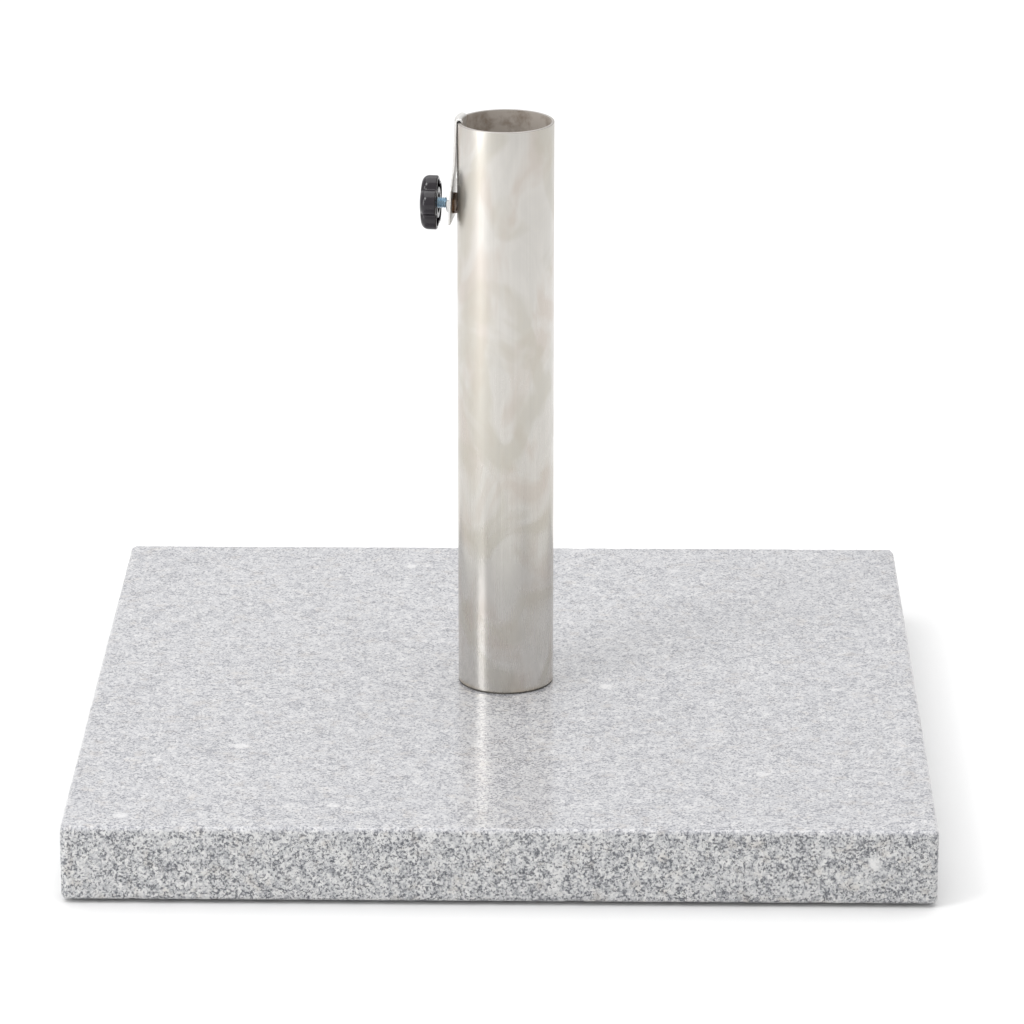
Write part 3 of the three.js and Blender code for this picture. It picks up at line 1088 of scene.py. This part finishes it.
def split_washer(name, inner, outer, low, high, split, ease):
    """A square-section ring with a slit, lofted from one side of the slit round to the other."""
    section = arc((inner + ease, low + ease), ease, 180, 270, 3)
    section += arc((outer - ease, low + ease), ease, 270, 360, 3)
    section += arc((outer - ease, high - ease), ease, 0, 90, 3)
    section += arc((inner + ease, high - ease), ease, 90, 180, 3)
    gap, steps = split / (inner + outer), 96
    turns = [gap + (2 * math.pi - 2 * gap) * i / steps for i in range(steps + 1)]
    return loft(name, [[(r * math.cos(a), r * math.sin(a), z) for r, z in section] for a in turns])


spring_low, spring_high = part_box("fixing_spring_washer")
spring = split_washer(
    "spring_washer", bolt_bore, 10.5 * mm, spring_low.z, spring_high.z, split=1.6 * mm, ease=0.25 * mm
)
paint(spring, plated)
finish_piece(spring, "base", "plated_steel", "fixing_spring_washer")

# %% [markdown]
# ## Fixing bolt
#
# The bolt's head and shank are one loft: rows of hexagons, and then rows of circles with as
# many points. The shank's rows are close together, and the thread recipe draws them into a screw.
# A helix swept along the rod would need joining to it, and this way the bolt is one closed skin.


# %% Fixing bolt
m12_pitch, m12_radius, tip_chamfer = 1.75 * mm, 6 * mm, 1 * mm


def shank_rows(angles, start, end):
    """Ten rows to a pitch for the thread to move, and a chamfered tip."""
    length = end - tip_chamfer - start
    count = round(length / (m12_pitch / 10))
    rows = [circle_row(m12_radius, start + length * i / count, angles) for i in range(count + 1)]
    return rows + [circle_row(m12_radius - tip_chamfer, end, angles)]


bolt_low, bolt_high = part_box("fixing_bolt")
bolt_seat = spring_low.z
head_rows = hexagon_rows(m12_flats, bolt_low.z, bolt_seat, top=False)
bolt = loft("m12_bolt", head_rows + shank_rows(row_angles(head_rows[0]), bolt_seat, bolt_high.z))
thread.grow(
    bolt, plated, Pitch=m12_pitch, Depth=1.0 * mm, Start=bolt_seat + 8 * mm,
    End=bolt_high.z - 0.5 * mm, Fade=1.5 * mm, Rod=m12_radius,
)
finish_piece(bolt, "base", "plated_steel", "fixing_bolt", sharp=40)

# %% [markdown]
# ## The clip over the rim
#
# The clip is one strip of steel. In its side view it runs up inside the tube, over the rim and down
# outside, leaning out by 2.3 degrees. Near the rim the strip is rolled to the tube's curve,
# and it flattens into a wider plate that holds the nut. A loft of cross-sections follows that
# rule station by station, and a hexagon window is cut for the nut.

# %% Clip strap
strap_width, plate_width, strap_thick = 15.5 * mm, 24.5 * mm, 1 * mm
strap_bottom, shoulder_at, flat_from, inner_leg = 55.4 * mm, 34.8 * mm, 22 * mm, 12 * mm
shoulder_radius, corner_radius, strap_ease, clearance = 2 * mm, 1 * mm, 0.28 * mm, 0.3 * mm
lean = math.radians(2.3)
inner_line = tube_bore - clearance - strap_thick / 2
outer_line = tube_radius + clearance + strap_thick / 2


def strap_stations():
    """(position, heading) along the strip's middle line, in its side view."""
    centre, bend = (inner_line + outer_line) / 2, (outer_line - inner_line) / 2
    stations = [((inner_line, inner_leg * (i / 6 - 1)), (0, 1)) for i in range(6)]
    for i in range(25):
        a = math.pi - (math.pi - lean) * i / 24
        stations.append(((centre + bend * math.cos(a), bend * math.sin(a)), (math.sin(a), -math.cos(a))))
    (x, z), heading = stations[-1]
    reach = (z + strap_bottom) / math.cos(lean)
    # Below the rim the stations crowd at the shoulders and at the rounded corners.
    depths = [depth * mm for depth in (3, 7, 11, 15, 19)]
    depths += [*np.linspace(22.5 * mm, shoulder_at, 13)]
    depths += [*np.linspace(shoulder_at + 0.2 * mm, shoulder_at + shoulder_radius, 10)]
    depths += [depth * mm for depth in (38.5, 41, 44, 48, 52)]
    depths += [*np.linspace(53.5 * mm, strap_bottom - 0.2 * mm, 7)]
    depths += [strap_bottom - 0.2 * mm * (1 - share) ** 2 for share in (0.4, 0.7, 1)]
    for depth in depths:
        along = reach * (depth + z) / (strap_bottom + z)
        stations.append(((x + heading[0] * along, z + heading[1] * along), heading))
    return stations


def share_between(value, start, end):
    return min(max((value - start) / (end - start), 0), 1)


def quarter_round(share):
    return math.sqrt(max(0, 1 - (1 - share) ** 2))


def strap_half_width(depth):
    past_shoulder = share_between(depth, shoulder_at, shoulder_at + shoulder_radius)
    above_corner = share_between(depth, strap_bottom, strap_bottom - corner_radius)
    grown = (plate_width - strap_width) * quarter_round(past_shoulder)
    return (strap_width + grown) / 2 - corner_radius * (1 - quarter_round(above_corner))


def strap_section(half):
    """A flat strip's section with eased edges, as (across, out) points."""
    side, face = half - strap_ease, strap_thick / 2
    across = [side * (i / 12 - 1) for i in range(25)]
    section = [(x, -face) for x in across]
    section += arc((side, strap_ease - face), strap_ease, -70, 0, 3)
    section += arc((side, face - strap_ease), strap_ease, 0, 70, 3)
    section += [(x, face) for x in reversed(across)]
    section += arc((-side, face - strap_ease), strap_ease, 110, 180, 3)
    section += arc((-side, strap_ease - face), strap_ease, 180, 250, 3)
    return section


def strap_row(position, heading):
    """The strip's section at one station, bent to the tube near the rim."""
    x, z = position
    share = share_between(-z, flat_from, shoulder_at)
    rolled = 1 - share * share * (3 - 2 * share)
    row = []
    for side, out in strap_section(strap_half_width(-z)):
        radius = x - heading[1] * out
        sag = radius - math.sqrt(radius**2 - min(abs(side), radius / 2) ** 2)
        row.append((radius - rolled * sag, side, z + heading[0] * out))
    return row


strap = loft("rim_clip", [strap_row(*station) for station in strap_stations()])
place(strap, clamp_frame)
window_ring = hexagon_ring(10.6 * mm, 0.3 * mm, 6)
window = loft("window", [[(x, y, z) for x, y in window_ring] for z in (22 * mm, 34 * mm)])
cut_out(strap, place(window, along_screw))
paint(strap, strap_steel)
finish_piece(strap, "base", "stainless_strap", "clip_strap")

# %% [markdown]
# ## Clamp nut
#
# The nut stands in the strap's window and is welded to it all round. It is a hexagon nut like the
# one inside the tube, so the same function makes it, chamfered at both ends and then laid along
# the screw. Its weld is the small bead where it meets the strap.

# %% Clamp nut
m6_flats, nut_inner, nut_outer, m6_bore = 10 * mm, 25.7 * mm, 31.5 * mm, 3.3 * mm
clamp_nut = nut_piece("welded_nut", m6_flats, nut_inner, nut_outer, m6_bore, 0.35 * mm)
place(clamp_nut, along_screw)
paint(clamp_nut, nut_steel)
finish_piece(clamp_nut, "base", "nut_steel", "clamp_nut")

nut_weld = seed_piece("nut_weld")
weld.grow(
    nut_weld, nut_steel, Radius=5.25 * mm, Height=28.05 * mm, Thickness=0.5 * mm, Ripples=24, Seed=2.0
)
place(nut_weld, along_screw)
finish_piece(nut_weld, "base", "nut_steel")

# %% [markdown]
# ## The hand screw
#
# The stud is an M6 screw with a thin tip that turns inside a nylon cap, so the cap presses on the pole
# without turning against it. The knob is moulded round the stud's head. The stud and the knob
# turn together, and the cap only slides with them, so it rides on a body of its own.
# The cap is small and round, and its outline takes in the pocket that holds the tip.

# %% Pressure cap
cap_face, cap_back, cap_radius, cap_round = 10.6 * mm, 13.1 * mm, 4 * mm, 0.7 * mm
pocket_radius, pocket_depth = 2.2 * mm, 1.6 * mm
cap_outline = [(0, cap_face), (cap_radius - 1.4 * mm, cap_face)]
cap_outline += arc((cap_radius - cap_round, cap_face + cap_round), cap_round, -90, 0, 6)
cap_outline += [(cap_radius, cap_back - 0.25 * mm), (cap_radius - 0.25 * mm, cap_back)]
cap_outline += [(pocket_radius + 0.2 * mm, cap_back), (pocket_radius, cap_back - 0.2 * mm)]
cap_outline += [(pocket_radius, cap_back - pocket_depth), (0, cap_back - pocket_depth)]
cap = place(turned("nylon_cap", cap_outline, 72), along_screw)
paint(cap, white_nylon)
finish_piece(cap, "screw_tip", "white_nylon", "pressure_cap")

# %% [markdown]
# ## Stud
#
# The stud is one rod: a thin tip, a long thread, and a wider head inside the knob. Ten rows of points
# to a turn give the thread recipe something to move. The recipe leaves the tip and the head
# alone, because it only touches points at the rod's own radius.

# %% Screw stud
m6_pitch, m6_radius = 1 * mm, 3 * mm
thread_start, thread_end, rows_in_pitch = 13.9 * mm, 38.9 * mm, 10
tip_profile = [(1.6, 11.8), (1.9, 12.1), (1.9, 13.4), (2.5, 13.4)]
head_profile = [(3.0, 39.0), (4.7, 39.0), (5.0, 39.3), (5.0, 41.9), (4.7, 42.2)]


def stud_rings(profile):
    return [circle_row(radius, along, full_turn(64)) for radius, along in profile]


rod_rows = round((thread_end - thread_start) / m6_pitch * rows_in_pitch) + 1
rod_profile = [(m6_radius, thread_start + m6_pitch * i / rows_in_pitch) for i in range(rod_rows)]
tip, head = ([(r * mm, z * mm) for r, z in profile] for profile in (tip_profile, head_profile))
stud = loft("m6_stud", stud_rings([*tip, *rod_profile, *head]))
thread.grow(
    stud, blued_zinc, Pitch=m6_pitch, Depth=0.58 * mm, Start=thread_start - 0.2 * mm, End=thread_end,
    Fade=0.8 * mm, Rod=m6_radius,
)
place(stud, along_screw)
finish_piece(stud, "hand_screw", "blued_zinc", "screw_stud", sharp=48)

# %% [markdown]
# ## Knob
#
# The knob is moulded hollow: a wall and a hub under one roof, open towards the nut, with five
# lobes for the fingers. Modelling the lobes one by one would leave seams between them, so a round
# blank is turned first, in millimetres along the screw, and the star recipe draws its outside
# in between the lobes.

# %% Knob
knob_back, knob_front, dome = 36.1, 44.9, 0.4
crest, inside, hub, outer_edge, back_edge = 15.0, 13.0, 8.3, 4.0, 1.1
small_edge, socket, stud_hole = 0.3, 5.5, 3.3


def knob_outline():
    roof = knob_back + 6
    domed = [(0, 1), (3, 0.95), (5.6, 0.84), (6.0, 0.55), (6.5, 0.52), (6.9, 0.76)]
    domed += [(hub, 0.6), (9.6, 0.4), (10.8, 0.16)]
    outline = [(radius, knob_front + dome * share) for radius, share in domed]
    outline += arc((crest - outer_edge, knob_front - outer_edge), outer_edge, 90, 0, 12)
    outline += [(crest, along) for along in (40.2, 39.4, 38.6, 37.8)]
    outline += arc((crest - back_edge, knob_back + back_edge), back_edge, 0, -90, 5)
    # The hollow: up the wall's inner side, across under the roof and back down the hub.
    outline += arc((inside + small_edge, knob_back + small_edge), small_edge, -90, -180, 3)
    outline += [(inside, 37.5), (inside - 0.1, 39.5), (inside - 0.2, roof - 0.5)]
    outline += arc((inside - 0.7, roof - 0.5), 0.5, 0, 90, 3)
    outline += [(11, roof), (hub + 0.6, roof), (hub + 0.15, roof - 0.4), (hub, knob_back + small_edge)]
    outline += arc((hub - small_edge, knob_back + small_edge), small_edge, 0, -90, 3)
    # The hub's middle: a shallow socket, the stud's hole and the room for its head.
    outline += [(socket + small_edge, knob_back), (socket, knob_back + small_edge)]
    outline += [(socket, knob_back + 1.6), (stud_hole + small_edge, knob_back + 1.6)]
    outline += [(stud_hole, knob_back + 1.9), (stud_hole, 38.7), (5.3, 38.7), (5.3, 42.5), (0, 42.5)]
    return [(r * mm, z * mm) for r, z in outline]


knob = turned("star_knob", knob_outline(), 288)
star.grow(
    knob, black_plastic, Lobes=5, Crest=crest * mm, Lobe_Radius=6.8 * mm, Softness=0.97, Hub=hub * mm,
    Inside=inside * mm,
)
knob_stands_at = Matrix.Rotation(math.radians(103), 4, "Z")
place(knob, along_screw @ knob_stands_at)
finish_piece(knob, "hand_screw", "black_plastic", "knob_shell", sharp=40)

# %% [markdown]
# ## The stage
#
# The floor is plain and pale, and the world behind it is an even white. A backdrop with a curve
# would hide the horizon, but the camera never sees one here, so a flat floor is enough.


# %% Floor and world
def stage_floor():
    f = Finish("studio_floor")
    shade = f.noise(1.5, detail=2) * 0.02
    return f.surface(f.mix(shade, (0.80, 0.80, 0.80), (0.74, 0.74, 0.74)), 0.75)


floor = new_piece("Floor", [(-9, -9, 0), (9, -9, 0), (9, 9, 0), (-9, 9, 0)], [(0, 1, 2, 3)])
floor.data.materials.append(stage_floor())
floor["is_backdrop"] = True

world = bpy.data.worlds.new("studio")
world.use_nodes = True
backdrop = world.node_tree.nodes["Background"]
backdrop.inputs["Color"].default_value = (1, 1, 1, 1)
backdrop.inputs["Strength"].default_value = 0.86
bpy.context.scene.world = world
bpy.context.scene.view_settings.view_transform = "Standard"


# %% [markdown]
# ## Lights
#
# A broad softbox overhead does most of the work. A second one stands high on the front left and throws
# the tube's soft shadow to the back right. A tall strip, low on the left, draws the bright line
# down the tube. Steel shows the shape of its lights, so each one is a rectangle with a size.


# %% Lights
def softbox(name, power, size, azimuth, elevation, distance, aim=(0, 0, 0.1)):
    """A rectangular light. Azimuth is where it stands, in degrees anticlockwise from +X."""
    data = bpy.data.lights.new(name, "AREA")
    data.shape = "RECTANGLE"
    data.size, data.size_y = size
    data.energy = power
    light = bpy.data.objects.new(name, data)
    bpy.context.scene.collection.objects.link(light)
    turn, rise = math.radians(azimuth), math.radians(elevation)
    away = Vector((math.cos(turn) * math.cos(rise), math.sin(turn) * math.cos(rise), math.sin(rise)))
    light.location = Vector(aim) + away * distance
    light.rotation_euler = (-away).to_track_quat("-Z", "Y").to_euler()
    light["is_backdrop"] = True


softbox("overhead", 46, (3.4, 3.4), 90, 89, 2.3, aim=(0, 0.6, 0.1))
softbox("key", 9.8, (0.6, 0.6), 222, 48, 2.2)
softbox("strip", 10, (0.6, 1.6), 210, 9, 2.0, aim=(0, 0, 0.15))

# %% [markdown]
# ## Camera
#
# A long lens from nearly three metres away keeps the slab's sides close to parallel. The camera is
# turned by the direction it looks in, worked out from a compass angle and a dip, which is
# easier to think about than its three rotations.

# %% Camera
camera = bpy.data.objects.new("Camera", bpy.data.cameras.new("Camera"))
bpy.context.scene.collection.objects.link(camera)
camera.location = (0.046, -2.7555, 1.054)
yaw, pitch = math.radians(-0.8863), math.radians(18.378)
sight = Vector((math.sin(yaw) * math.cos(pitch), math.cos(yaw) * math.cos(pitch), -math.sin(pitch)))
camera.rotation_euler = sight.to_track_quat("-Z", "Y").to_euler()
camera.data.lens = 187.28
camera.data.sensor_width = 36
bpy.context.scene.camera = camera
print("camera looks along", tuple(round(c, 3) for c in sight))

# %% [markdown]
# ## Sizes
#
# Finer pieces mustn't change how big the object is. The box round the imported solids and the box
# round everything drawn are printed as their difference at each corner, in millimetres.

# %% Sizes, printed as differences
visual_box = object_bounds()
sizes = {"cad": [list(c) for c in cad_box], "visual": [list(c) for c in visual_box]}
for end, cad, visual in zip(("lowest", "highest"), *sizes.values()):
    print(end, "corner:", [round((v - c) / mm, 2) for c, v in zip(cad, visual)], "mm off the CAD")
